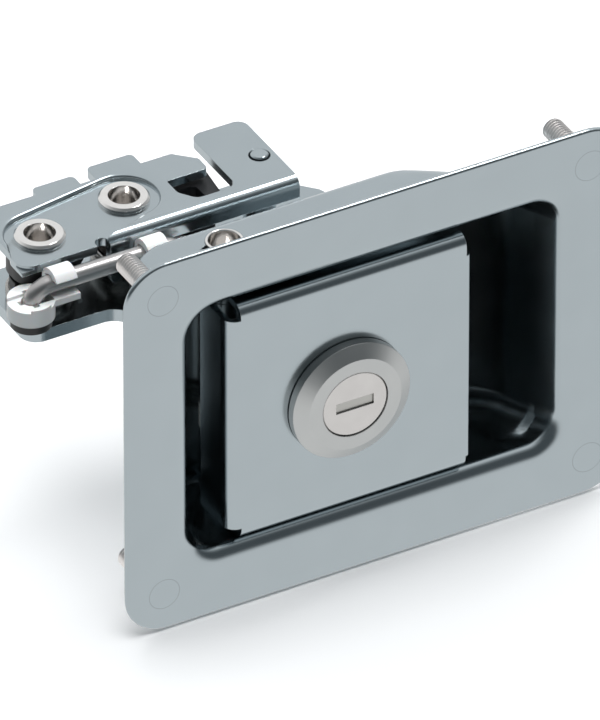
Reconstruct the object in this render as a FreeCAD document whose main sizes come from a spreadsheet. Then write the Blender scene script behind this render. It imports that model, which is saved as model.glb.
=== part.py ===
import FreeCAD, Part
import Sketcher
import math
import os
import re

# Flush slam latch. The origin is the centre of the dish flange's back face, +Y goes into the panel, +Z is up.

SIZES = {
    # sheet thicknesses
    "dish_wall": 1.5,
    "paddle_wall": 1.5,
    "plate_wall": 2.0,
    "bracket_wall": 3.0,
    # dish
    "flange_length": 120.0,
    "flange_height": 93.0,
    "flange_round": 9.75,
    "pan_half_x": 44.3,
    "pan_half_z": 31.05,
    "pan_depth": 23.8,
    "pan_round": 7.0,
    "pan_floor_round": 1.7,
    "entry_round": 3.0,
    "mouth_lead": 0.4,
    "ramp_run": 20.0,
    "ramp_lead": 3.6,
    # weld studs
    "stud_radius": 2.5,
    "stud_length": 15.0,
    "stud_inset": 9.0,
    "stud_tip": 0.6,
    # paddle pivot
    "pivot_x": -26.0,
    "pivot_y": 17.5,
    "tube_radius": 4.1,
    "tube_bore": 3.45,
    "tube_end": 0.6,
    "running_gap": 0.08,
    "relief_reach": 6.0,
    "relief_half": 2.2,
    # paddle
    "paddle_left": -35.7,
    "paddle_right": 22.5,
    "paddle_half_z": 29.3,
    "paddle_side_depth": 12.0,
    "paddle_flange_depth": 8.0,
    "paddle_lip_depth": 4.0,
    "paddle_lip_top": 24.5,
    "paddle_lip_bottom": -26.0,
    "paddle_notch": 1.1,
    "paddle_relief": 3.2,
    "paddle_side_round": 3.2,
    "paddle_flange_round": 1.4,
    "paddle_lip_round": 1.0,
    "ear_radius": 5.6,
    # lever behind the paddle
    "lever_wall": 2.2,
    "lever_top": 19.4,
    "lever_pad_left": -32.0,
    "lever_pad_right": -21.0,
    "lever_pad_drop": 9.0,
    "lever_hub_radius": 6.0,
    "lever_end_radius": 4.4,
    "open_pivot_gap": 0.75,
    # window in the dish for the lever
    "window_left": -36.5,
    "window_right": -15.5,
    "window_bottom": 15.2,
    "window_top": 26.2,
    "window_round": 2.0,
    # cylinder lock
    "lock_x": -7.4,
    "lock_z": -1.3,
    "bezel_radius": 14.0,
    "bezel_flat_radius": 11.0,
    "bezel_height": 3.65,
    "bezel_chamfer": 1.75,
    "washer_height": 0.3,
    "washer_inset": 0.4,
    "barrel_radius": 11.0,
    "barrel_length": 12.0,
    "nut_across": 27.0,
    "nut_height": 4.0,
    "plug_radius": 7.8,
    "plug_gap": 0.05,
    "plug_neck_radius": 4.0,
    "cam_reach": 14.0,
    "cam_width": 10.0,
    "cam_wall": 2.0,
    "cam_screw_radius": 5.0,
    "cam_screw_height": 2.6,
    "key_width": 9.0,
    "key_height": 2.5,
    "key_recess": 0.4,
    # rotary latch plates
    "latch_left": -65.2,
    "latch_length": 66.3,
    "latch_near": 33.9,
    "latch_width": 21.5,
    "latch_top": 29.6,
    "latch_inside": 14.0,
    "plate_corner_round": 3.0,
    "plate_bend_round": 2.5,
    "tab_one_start": 15.0,
    "tab_one_width": 10.0,
    "tab_one_reach": 2.5,
    "tab_gap": 3.7,
    "tab_two_width": 11.0,
    "tab_two_reach": 3.7,
    "tab_relief_depth": 0.9,
    "arm_width": 12.8,
    "arm_reach": 3.6,
    "arm_round": 2.5,
    "notch_width": 12.2,
    "notch_set": 4.1,
    "notch_bevel": 2.7,
    "notch_depth": 8.5,
    "lobe_width": 8.5,
    "mouth_width": 2.3,
    "lobe_slant": 4.3,
    "bend_set": 21.0,
    "bend_relief": 3.1,
    "bend_relief_depth": 2.3,
    "bend_drop": 4.8,
    "bend_tab_width": 2.7,
    "bend_tab_drop": 11.6,
    "recess_depth": 1.0,
    "recess_radius": 7.5,
    # rotary latch pivots
    "pivot_set": 8.9,
    "pivot_depth": 8.8,
    "pivot_spread": 22.0,
    "pivot_rise": 3.5,
    "rivet_radius": 4.0,
    "rivet_head_radius": 5.5,
    "rivet_head": 1.2,
    "rivet_mouth_radius": 3.425,
    "rivet_mouth_depth": 5.0,
    "rivet_bore": 2.75,
    "rivet_foot_radius": 5.25,
    "rivet_foot": 0.9,
    "sleeve_radius": 5.5,
    "fit_gap": 0.05,
    "pin_set": 3.3,
    "pin_depth": 11.7,
    "pin_radius": 1.95,
    "pin_hole_radius": 2.35,
    "pin_body_radius": 3.5,
    "pin_stand": 0.5,
    # bracket
    "bracket_lip": 2.5,
    "bracket_corner_round": 4.0,
    "bracket_head": 22.7,
    "bracket_neck_round": 5.0,
    "bracket_wing": 14.5,
    "bracket_wing_cut": 11.0,
    "bracket_foot_drop": 19.0,
    "striker_gap": 1.3,
    "striker_width": 9.4,
    # moving latch pieces
    "moving_thick": 5.9,
    "moving_clear": 3.4,
    "hub_radius": 6.5,
    "tooth_radius": 8.6,
    # rod and clips
    "rod_radius": 2.0,
    "rod_gap": 3.8,
    "rod_drop": 3.7,
    "rod_length": 36.0,
    "rod_bend": 4.5,
    "rod_leg": 10.0,
    "clip_radius": 5.1,
    "clip_drop": 2.0,
    "clip_height": 4.4,
    "clip_barrel_radius": 3.0,
    "clip_barrel_height": 7.3,
    "clip_arm_radius": 3.5,
    "clip_arm_start": 4.5,
    "clip_arm_length": 5.0,
    "clip_arm_lip": 1.6,
    "clip_reach": 10.4,
    "clip_tongue": 1.5,
    "clip_tongue_half": 2.6,
    # springs
    "wire_radius": 0.55,
    "latch_coil_radius": 6.8,
    "paddle_coil_radius": 5.1,
    "paddle_coil_bottom": -14.0,
    "paddle_coil_turns": 5.0,
    "coil_pitch_ratio": 2.3,
    "latch_spring_leg": 5.0,
    "paddle_spring_leg": 12.0,
    "seat_gap": 0.1,
}

# Places that follow from the sizes, each a sum of them

PLACES = {
    "latch_right": "latch_left + latch_length",
    "latch_far": "latch_near + latch_width",
    "tab_one_left": "latch_left + tab_one_start",
    "tab_one_right": "tab_one_left + tab_one_width",
    "tab_one_far": "latch_far + tab_one_reach",
    "tab_two_left": "tab_one_right + tab_gap",
    "tab_two_right": "tab_two_left + tab_two_width",
    "tab_two_far": "latch_far + tab_two_reach",
    "arm_left": "latch_right - arm_width",
    "arm_far": "latch_far + arm_reach",
    "notch_left": "arm_left - notch_width",
    "notch_bottom": "latch_near + notch_set",
    "lobe_near": "notch_bottom + notch_depth",
    "lobe_far": "lobe_near + lobe_width",
    "lobe_tip": "arm_left - mouth_width",
    "bend_start": "latch_left + bend_set",
    "left_pivot_x": "latch_left + pivot_set",
    "left_pivot_y": "latch_near + pivot_depth",
    "right_pivot_x": "left_pivot_x + pivot_spread",
    "right_pivot_y": "left_pivot_y + pivot_rise",
    "pin_x": "latch_right - pin_set",
    "pin_y": "latch_near + pin_depth",
    "bracket_near": "latch_near - bracket_lip",
    "bracket_neck_x": "latch_left + bracket_head",
    "striker_left": "notch_left - striker_gap",
    "striker_right": "striker_left + striker_width",
    "moving_bottom": "moving_top - moving_thick",
    "moving_top": "latch_top - moving_clear",
    "rod_left": "latch_left",
    "rod_right": "rod_left + rod_length",
    "rod_y": "latch_near - rod_gap",
    "rod_z": "latch_top - rod_drop",
    "rod_foot": "rod_z - rod_leg",
    "clip_top": "rod_z - clip_drop",
    "clip_barrel_foot": "clip_top - clip_barrel_height",
}

doc = FreeCAD.newDocument("slam_latch")
sheet = doc.addObject("Spreadsheet::Sheet", "Sizes")
for row, (alias, value) in enumerate(SIZES.items(), start=1):
    sheet.set(f"A{row}", alias)
    sheet.set(f"B{row}", str(value))
    sheet.setAlias(f"B{row}", alias)
doc.recompute()

NODES = []


def bound(text):
    """Turns the names in an expression into references to the sheet; a place becomes its own sum."""
    def reference(word):
        name = word[0]
        if name in PLACES:
            return f"({bound(PLACES[name])})"
        return f"Sizes.{name}" if name in SIZES else name
    return re.sub(r"[a-z]\w*", reference, str(text))


def size(name):
    if name in PLACES:
        terms = re.findall(r"([+-]?) ?([a-z]\w*)", PLACES[name])
        return sum(-size(term) if sign == "-" else size(term) for sign, term in terms)
    return float(sheet.get(name))


def bind(thing, **expressions):
    """Binds properties to the sheet; a double underscore in a name stands for a dot."""
    for name, text in expressions.items():
        thing.setExpression(name.replace("__", "."), bound(text))


def node(thing, label):
    thing.Label = label
    NODES.append(thing)
    return thing


def new_body(label):
    return node(doc.addObject("PartDesign::Body", label), label)


def new_sketch(body, plane, lift="0"):
    """An empty sketch on one of the body's own planes, lifted along the plane's normal."""
    sketch = body.newObject("Sketcher::SketchObject", f"{body.Label}_sketch")
    support = next(part for part in body.Origin.OriginFeatures if part.Role == plane)
    sketch.AttachmentSupport = [(support, "")]
    sketch.MapMode = "FlatFace"
    bind(sketch, AttachmentOffset__Base__z=lift)
    return sketch


def fix_point(sketch, edge, end, across, up):
    for kind, text in (("DistanceX", across), ("DistanceY", up)):
        rule = sketch.addConstraint(Sketcher.Constraint(kind, -1, 1, edge, end, 1.0))
        sketch.setExpression(f"Constraints[{rule}]", bound(text))


def add_loop(sketch, corners):
    """Adds a closed chain of lines whose corners are held by expressions."""
    first = sketch.GeometryCount
    count = len(corners)
    ring = [2 * math.pi * turn / count for turn in range(count)]
    start = [FreeCAD.Vector(20 * math.cos(angle), 20 * math.sin(angle), 0) for angle in ring]
    for number in range(count):
        sketch.addGeometry(Part.LineSegment(start[number], start[(number + 1) % count]), False)
    for number in range(count):
        following = first + (number + 1) % count
        sketch.addConstraint(Sketcher.Constraint("Coincident", first + number, 2, following, 1))
    for number, (across, up) in enumerate(corners):
        fix_point(sketch, first + number, 1, across, up)


def add_circle(sketch, across, up, radius):
    edge = sketch.addGeometry(Part.Circle(FreeCAD.Vector(1, 1, 0), FreeCAD.Vector(0, 0, 1), 2.0), False)
    fix_point(sketch, edge, 3, across, up)
    rule = sketch.addConstraint(Sketcher.Constraint("Radius", edge, 2.0))
    sketch.setExpression(f"Constraints[{rule}]", bound(radius))


def outline(body, plane, corners, lift="0"):
    sketch = new_sketch(body, plane, lift)
    add_loop(sketch, corners)
    return sketch


def discs(body, plane, circles, lift="0"):
    sketch = new_sketch(body, plane, lift)
    for across, up, radius in circles:
        add_circle(sketch, across, up, radius)
    return sketch


def extrude(body, kind, sketch, length, reverse=False, middle=False):
    feature = body.newObject(f"PartDesign::{kind}", f"{body.Label}_{kind.lower()}")
    feature.Profile = sketch
    feature.Reversed = reverse
    feature.Midplane = middle
    bind(feature, Length=length)
    doc.recompute()
    return feature


def pad(body, sketch, length, **ways):
    return extrude(body, "Pad", sketch, length, **ways)


def pocket(body, sketch, length, **ways):
    """Cuts a pocket and makes sure that it took something away."""
    before = body.Shape.Volume
    feature = extrude(body, "Pocket", sketch, length, **ways)
    if body.Shape.Volume > before - 1e-6:
        raise ValueError(f"{feature.Label} cuts nothing")
    return feature


def turned(label, plane, axis, corners, **place):
    """A turned piece: a half section revolved about an axis of the sketch, then set in its place."""
    body = new_body(label)
    sketch = outline(body, plane, corners)
    feature = body.newObject("PartDesign::Revolution", f"{label}_turn")
    feature.Profile = sketch
    feature.ReferenceAxis = (sketch, [axis])
    feature.Angle = 360
    for name, text in place.items():
        bind(body, **{f"Placement__Base__{name}": text})
    doc.recompute()
    return body


def line_edges(feature, points, way):
    """Names of the straight edges along one direction that pass through the given points."""
    names = []
    for number, edge in enumerate(feature.Shape.Edges, start=1):
        if edge.Curve.TypeId != "Part::GeomLine":
            continue
        if edge.Curve.Direction.cross(way).Length > 1e-5:
            continue
        for point in points:
            gap = (edge.Vertexes[0].Point - point).cross(way).Length
            if gap < 1e-4 and f"Edge{number}" not in names:
                names.append(f"Edge{number}")
    return names


def sketch_points(sketch, corners):
    return [sketch.Placement.multVec(sketch.Geometry[number].StartPoint) for number in corners]


def rounded(body, names, radius):
    if not names:
        raise ValueError(f"{body.Label} has no edge to round by {radius}")
    base = body.Tip
    feature = body.newObject("PartDesign::Fillet", f"{body.Label}_fillet")
    feature.Base = (base, names)
    bind(feature, Radius=radius)
    doc.recompute()
    if not feature.isValid():
        raise ValueError(f"{body.Label} refuses the round {radius}")
    return feature


def round_corners(body, sketch, corners, radius):
    """Rounds the edges that rise from the sketch's corners."""
    way = sketch.Placement.Rotation.multVec(FreeCAD.Vector(0, 0, 1))
    return rounded(body, line_edges(body.Tip, sketch_points(sketch, corners), way), radius)


def rectangle(left, low, right, high):
    return [(left, low), (right, low), (right, high), (left, high)]


X_WAY = FreeCAD.Vector(1, 0, 0)
Y_WAY = FreeCAD.Vector(0, 1, 0)
Z_WAY = FreeCAD.Vector(0, 0, 1)


def edges_near(feature, test):
    """Names of the edges whose every sampled point passes the test."""
    names = []
    for number, edge in enumerate(feature.Shape.Edges, start=1):
        if all(test(point) for point in edge.discretize(5)):
            names.append(f"Edge{number}")
    return names


def helper_body(label):
    """A body that only serves as a tool for another piece."""
    body = doc.addObject("PartDesign::Body", label)
    body.Label = label
    return body


def joined(kind, label, first, second):
    thing = doc.addObject(f"Part::{kind}", label)
    thing.Base = first
    thing.Tool = second
    doc.recompute()
    return thing


def block(label, left, near, low, length, width, height):
    thing = doc.addObject("Part::Box", label)
    bind(thing, Placement__Base__x=left, Placement__Base__y=near, Placement__Base__z=low,
         Length=length, Width=width, Height=height)
    return thing


def rod_along(label, way, x, y, z, radius, length):
    """A cylinder from a point along the X, Y or Z direction."""
    thing = doc.addObject("Part::Cylinder", label)
    thing.Placement.Rotation = FreeCAD.Rotation(Z_WAY, way)
    bind(thing, Placement__Base__x=x, Placement__Base__y=y, Placement__Base__z=z,
         Radius=radius, Height=length)
    return thing


def all_joined(label, shapes):
    thing = doc.addObject("Part::MultiFuse", label)
    thing.Shapes = shapes
    thing.Refine = True
    doc.recompute()
    return thing


# Dish: a flange with a deep drawn pan whose right wall is a ramp for the fingers

def pan_inside():
    """The room in the pan: a block with a slanted right end, rounded along its length and at its floor."""
    body = helper_body("pan_inside")
    plan = outline(body, "XY_Plane", [
        ("-pan_half_x", "-dish_wall - 1"),
        ("-pan_half_x", "pan_depth"),
        ("pan_half_x - ramp_run", "pan_depth"),
        ("pan_half_x", "entry_round - dish_wall + mouth_lead + ramp_lead"),
        ("pan_half_x", "-dish_wall - 1")])
    pad(body, plan, "2 * pan_half_z", middle=True)
    side_z = body.Shape.BoundBox.ZMax
    back_y = body.Shape.BoundBox.YMax
    sides = [name for name in edges_near(body.Tip, lambda point: abs(abs(point.z) - side_z) < 1e-3)
             if abs(body.Tip.Shape.getElement(name).tangentAt(0).y) > 0.1]
    rounded(body, sides, "pan_round")
    rounded(body, edges_near(body.Tip, lambda point: abs(point.y - back_y) < 1e-3), "pan_floor_round")
    return body


def in_mouth(point):
    reach = size("dish_wall") + 1
    return abs(point.x) < size("pan_half_x") + reach and abs(point.z) < size("pan_half_z") + reach


def make_dish():
    flange = helper_body("dish_flange")
    depth = "(entry_round + mouth_lead)"
    back = f"dish_wall - {depth}"
    face = outline(flange, "XZ_Plane", rectangle(
        "-flange_length / 2", "-flange_height / 2", "flange_length / 2", "flange_height / 2"), lift=back)
    pad(flange, face, depth)
    round_corners(flange, face, range(4), "flange_round")
    mouth = outline(flange, "XZ_Plane", rectangle(
        "-pan_half_x", "-pan_half_z", "pan_half_x", "pan_half_z"), lift=back)
    pocket(flange, mouth, depth, reverse=True)
    round_corners(flange, mouth, range(4), "pan_round")
    rim = edges_near(flange.Tip, lambda point: abs(point.y + size("dish_wall")) < 1e-3 and in_mouth(point))
    rounded(flange, rim, "entry_round")
    around = outline(flange, "XZ_Plane", rectangle(
        "-flange_length / 2 - 1", "-flange_height / 2 - 1", "flange_length / 2 + 1", "flange_height / 2 + 1"))
    add_loop(around, rectangle("-pan_half_x - dish_wall", "-pan_half_z - dish_wall",
                               "pan_half_x + dish_wall", "pan_half_z + dish_wall"))
    pocket(flange, around, f"{depth} - dish_wall")
    round_corners(flange, around, range(4, 8), "pan_round + dish_wall")
    room = pan_inside()
    outside = doc.addObject("Part::Offset", "pan_outside")
    outside.Source = room
    outside.Join = "Arc"
    bind(outside, Value="dish_wall")
    behind = block("behind_collar", "-flange_length / 2", f"{depth} - dish_wall",
                   "-flange_height / 2", "flange_length", "pan_depth + 4 * dish_wall", "flange_height")
    doc.recompute()
    shell = joined("Cut", "pan_shell", joined("Common", "pan_trimmed", outside, behind), room)
    entry = joined("Fuse", "dish_pressed", flange, shell)

    window = helper_body("dish_window")
    hole = outline(window, "XZ_Plane", rectangle(
        "window_left", "window_bottom", "window_right", "window_top"), lift="-pan_depth + 1")
    pad(window, hole, "dish_wall + 2", reverse=True)
    round_corners(window, hole, range(4), "window_round")
    open_dish = joined("Cut", "dish_windowed", entry, window)

    seats = rod_along("tube_seats", Z_WAY, "pivot_x", "pivot_y", "-pan_half_z - 4",
                      "tube_radius + fit_gap", "2 * pan_half_z + 8")
    relief = helper_body("tube_relief")
    tip = outline(relief, "XY_Plane", [
        ("pivot_x - relief_reach", "pivot_y"),
        ("pivot_x", "pivot_y - relief_half"),
        ("pivot_x", "pivot_y + relief_half")], lift="pan_half_z - 1")
    pad(relief, tip, "dish_wall + 2")
    bored = joined("Cut", "dish_bored", open_dish, all_joined("tube_holes", [seats, relief]))
    node(bored, "dish")


# Weld studs: four alike, each turned about its own axis behind a corner of the flange

def make_studs():
    model = turned_tool("stud_model", "XY_Plane", "V_Axis", [
        ("0", "0"), ("stud_radius", "0"), ("stud_radius", "stud_length - stud_tip"),
        ("stud_radius - stud_tip", "stud_length"), ("0", "stud_length")])
    across = size("flange_length") / 2 - size("stud_inset")
    up = size("flange_height") / 2 - size("stud_inset")
    copies = []
    for sign_x in (-1, 1):
        for sign_z in (-1, 1):
            copy = model.Shape.copy()
            copy.translate(FreeCAD.Vector(sign_x * across, 0, sign_z * up))
            copies.append(copy)
    add_group("weld_studs", copies)


def add_group(label, solids):
    """Several alike solids in one node."""
    thing = doc.addObject("Part::Feature", label)
    thing.Shape = Part.makeCompound(solids)
    node(thing, label)


def turned_tool(label, plane, axis, corners):
    body = helper_body(label)
    turn(body, outline(body, plane, corners), axis)
    return body


def turn(body, sketch, axis):
    feature = body.newObject("PartDesign::Revolution", f"{body.Label}_turn")
    feature.Profile = sketch
    feature.ReferenceAxis = (sketch, [axis])
    feature.Angle = 360
    doc.recompute()
    return feature


# Pivot tube: a plain tube through the top and bottom walls of the pan

def make_pivot_tube():
    end = "pan_half_z + dish_wall + tube_end"
    turned("pivot_tube", "XZ_Plane", "V_Axis", [
        ("tube_bore", f"-({end})"), ("tube_radius", f"-({end})"),
        ("tube_radius", end), ("tube_bore", end)], x="pivot_x", y="pivot_y")


# Paddle: one folded sheet with two ears that turn on the pivot tube

def make_paddle():
    body = new_body("paddle")
    left, right, high = "paddle_left", "paddle_right", "paddle_half_z"
    face = outline(body, "XZ_Plane", [
        (left, f"-{high} + paddle_relief"),
        (f"{left} + paddle_relief", f"-{high} + paddle_relief"),
        (f"{left} + paddle_relief", f"-{high}"),
        (f"{right} - paddle_notch", f"-{high}"),
        (f"{right} - paddle_notch", "paddle_lip_bottom"),
        (right, "paddle_lip_bottom"),
        (right, "paddle_lip_top"),
        (f"{right} - paddle_notch", "paddle_lip_top"),
        (f"{right} - paddle_notch", high),
        (f"{left} + paddle_relief", high),
        (f"{left} + paddle_relief", f"{high} - paddle_relief"),
        (left, f"{high} - paddle_relief")])
    pad(body, face, "paddle_wall")
    side = outline(body, "XZ_Plane", rectangle(
        left, f"-{high} + paddle_relief", f"{left} + paddle_wall", f"{high} - paddle_relief"),
        lift="paddle_wall")
    pad(body, side, "paddle_side_depth", reverse=True)
    lip = outline(body, "XZ_Plane", rectangle(
        f"{right} - paddle_wall", "paddle_lip_bottom", right, "paddle_lip_top"), lift="paddle_wall")
    pad(body, lip, "paddle_lip_depth", reverse=True)
    for low in (f"-{high}", f"{high} - paddle_wall"):
        flange = outline(body, "XY_Plane", [
            (f"{left} + paddle_relief", "-paddle_wall"),
            (f"{right} - paddle_notch", "-paddle_wall"),
            (f"{right} - paddle_notch", "paddle_flange_depth - 4"),
            ("pivot_x + 3 * ear_radius", "paddle_flange_depth"),
            ("pivot_x + ear_radius", "pivot_y"),
            ("pivot_x + ear_radius", "pivot_y + ear_radius"),
            ("pivot_x - ear_radius", "pivot_y + ear_radius"),
            ("pivot_x - ear_radius", "pivot_y"),
            (f"{left} + paddle_relief", "paddle_flange_depth")], lift=low)
        pad(body, flange, "paddle_wall")
        round_corners(body, flange, [5, 6], "ear_radius - 0.02")
    hole = discs(body, "XY_Plane", [("pivot_x", "pivot_y", "tube_radius + running_gap")],
                 lift="-paddle_half_z - 1")
    pocket(body, hole, "2 * paddle_half_z + 2", reverse=True)
    lock_hole = discs(body, "XZ_Plane", [("lock_x", "lock_z", "barrel_radius + fit_gap")], lift="-1")
    pocket(body, lock_hole, "paddle_wall + 2", reverse=True)
    front = -size("paddle_wall")
    left_x, right_x, high_z = (size(name) for name in ("paddle_left", "paddle_right", "paddle_half_z"))

    def on_front(point):
        return abs(point.y - front) < 1e-3

    rounded(body, edges_near(body.Tip, lambda point: on_front(point) and abs(point.x - left_x) < 1e-3),
            "paddle_side_round")
    for sign in (-1, 1):
        fold = edges_near(body.Tip, lambda point: on_front(point) and abs(sign * point.z - high_z) < 1e-3)
        rounded(body, fold, "paddle_flange_round")
    lip_fold = edges_near(body.Tip, lambda point: on_front(point) and abs(point.x - right_x) < 1e-3)
    rounded(body, lip_fold, "paddle_lip_round")


# Lever: a bracket welded behind the paddle, whose arm reaches through the window of the dish

def make_paddle_lever():
    body = new_body("paddle_lever")
    low = "lever_top - lever_wall"
    arm = outline(body, "XY_Plane", [
        ("lever_pad_left", "0"),
        ("lever_pad_right", "0"),
        ("pivot_x + lever_hub_radius", "pivot_y"),
        ("rod_right + lever_end_radius", "rod_y - 1"),
        ("rod_right + lever_end_radius", "rod_y + lever_end_radius"),
        ("rod_right - lever_end_radius", "rod_y + lever_end_radius"),
        ("rod_right - lever_end_radius", "rod_y - 1"),
        ("pivot_x - lever_hub_radius", "pivot_y")], lift=low)
    pad(body, arm, "lever_wall")
    round_corners(body, arm, [4, 5], "lever_end_radius - 0.05")
    round_corners(body, arm, [2, 7], "lever_hub_radius / 2")
    foot = outline(body, "XZ_Plane", rectangle(
        "lever_pad_left", "lever_top - lever_wall - lever_pad_drop", "lever_pad_right", "lever_top"))
    pad(body, foot, "lever_wall", reverse=True)
    holes = discs(body, "XY_Plane", [
        ("pivot_x", "pivot_y", "tube_radius + running_gap"),
        ("rod_right", "rod_y", "clip_barrel_radius + open_pivot_gap")], lift=f"{low} - 1")
    pocket(body, holes, "lever_wall + 2", reverse=True)


# Cylinder lock: housing with its bezel, washer, nut, plug, shutter, cam and screw

def lock_piece(label, corners):
    """A piece turned about the lock's axis; the corners are radius and depth."""
    return turned(label, "XY_Plane", "V_Axis", corners, x="lock_x", z="lock_z")


def make_lock():
    seat = "-paddle_wall - washer_height"
    front = f"{seat} - bezel_height"
    bore = "plug_radius + plug_gap"
    lock_piece("lock_housing", [
        (bore, front),
        ("bezel_flat_radius", front),
        ("bezel_radius", f"{front} + bezel_chamfer"),
        ("bezel_radius", seat),
        ("barrel_radius", seat),
        ("barrel_radius", "barrel_length"),
        (bore, "barrel_length")])
    lock_piece("lock_washer", [
        ("barrel_radius + fit_gap", seat),
        ("bezel_radius - washer_inset", seat),
        ("bezel_radius - washer_inset", "-paddle_wall"),
        ("barrel_radius + fit_gap", "-paddle_wall")])
    nut = new_body("lock_nut")
    half = "nut_across / 2"
    tip = "nut_across / sqrt(3)"
    hexagon = outline(nut, "XZ_Plane", [
        (tip, "0"), (f"{tip} / 2", half), (f"-{tip} / 2", half),
        (f"-{tip}", "0"), (f"-{tip} / 2", f"-{half}"), (f"{tip} / 2", f"-{half}")])
    pad(nut, hexagon, "nut_height", reverse=True)
    hole = discs(nut, "XZ_Plane", [("0", "0", "barrel_radius + fit_gap")], lift="1")
    pocket(nut, hole, "nut_height + 2")
    bind(nut, Placement__Base__x="lock_x", Placement__Base__z="lock_z")
    plug = lock_piece("lock_plug", [
        ("0", f"{front} + 0.2"),
        ("plug_radius - 0.3", f"{front} + 0.2"),
        ("plug_radius", f"{front} + 0.5"),
        ("plug_radius", "barrel_length"),
        ("plug_neck_radius", "barrel_length"),
        ("plug_neck_radius", "barrel_length + 2 * plug_gap + cam_wall"),
        ("0", "barrel_length + 2 * plug_gap + cam_wall")])
    slot = outline(plug, "XZ_Plane", rectangle(
        "-key_width / 2", "-key_height / 2", "key_width / 2", "key_height / 2"), lift=f"-({front})")
    pocket(plug, slot, "key_recess + 1.4")
    shutter = new_body("key_shutter")
    plate = outline(shutter, "XZ_Plane", rectangle(
        "-key_width / 2 + fit_gap", "-key_height / 2 + fit_gap", "key_width / 2 - fit_gap",
        "key_height / 2 - fit_gap"), lift=f"-({front}) - 0.2 - key_recess")
    pad(shutter, plate, "1.1", reverse=True)
    bind(shutter, Placement__Base__x="lock_x", Placement__Base__z="lock_z")
    cam = new_body("lock_cam")
    back = "barrel_length + 2 * plug_gap"
    plan = outline(cam, "XZ_Plane", rectangle(
        "-cam_width / 2", "-cam_width / 2", "cam_reach", "cam_width / 2"), lift=f"-({back})")
    pad(cam, plan, "cam_wall", reverse=True)
    round_corners(cam, plan, range(4), "cam_width * 0.3")
    hole = discs(cam, "XZ_Plane", [("0", "0", "plug_neck_radius + fit_gap")], lift=f"-({back}) + 1")
    pocket(cam, hole, "cam_wall + 2")
    bind(cam, Placement__Base__x="lock_x", Placement__Base__z="lock_z")
    lock_piece("cam_screw", [
        ("0", f"{back} + cam_wall"),
        ("cam_screw_radius", f"{back} + cam_wall"),
        ("cam_screw_radius", f"{back} + cam_wall + cam_screw_height - 0.6"),
        ("cam_screw_radius - 0.6", f"{back} + cam_wall + cam_screw_height"),
        ("0", f"{back} + cam_wall + cam_screw_height")])


# Top plate of the rotary latch: a stamped plate with a striker notch, a pressed panel and a bent front flange

LATCH_PIVOTS = (("left_pivot_x", "left_pivot_y"), ("right_pivot_x", "right_pivot_y"))
SPAN_X = "(right_pivot_x - left_pivot_x)"
SPAN_Y = "(right_pivot_y - left_pivot_y)"


def pressed_panel(body, low, depth, radius, action, reverse):
    """A panel as wide as both rivet seats, open towards the plate's near left corner."""
    step_x = f"{SPAN_Y} / hypot({SPAN_X}; {SPAN_Y}) * {radius}"
    step_y = f"{SPAN_X} / hypot({SPAN_X}; {SPAN_Y}) * {radius}"
    corners = [
        ("latch_left", "latch_near"),
        ("bend_start - bend_relief", "latch_near"),
        (f"right_pivot_x + {step_x}", f"right_pivot_y - {step_y}"),
        (f"right_pivot_x - {step_x}", f"right_pivot_y + {step_y}"),
        (f"left_pivot_x - {step_x}", f"left_pivot_y + {step_y}"),
        (f"left_pivot_x - {radius}", "left_pivot_y"),
        ("latch_left", "left_pivot_y - recess_radius / 2")]
    action(body, outline(body, "XY_Plane", corners, lift=low), depth, reverse=reverse)
    for across, up in LATCH_PIVOTS:
        action(body, discs(body, "XY_Plane", [(across, up, radius)], lift=low), depth, reverse=reverse)


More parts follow.
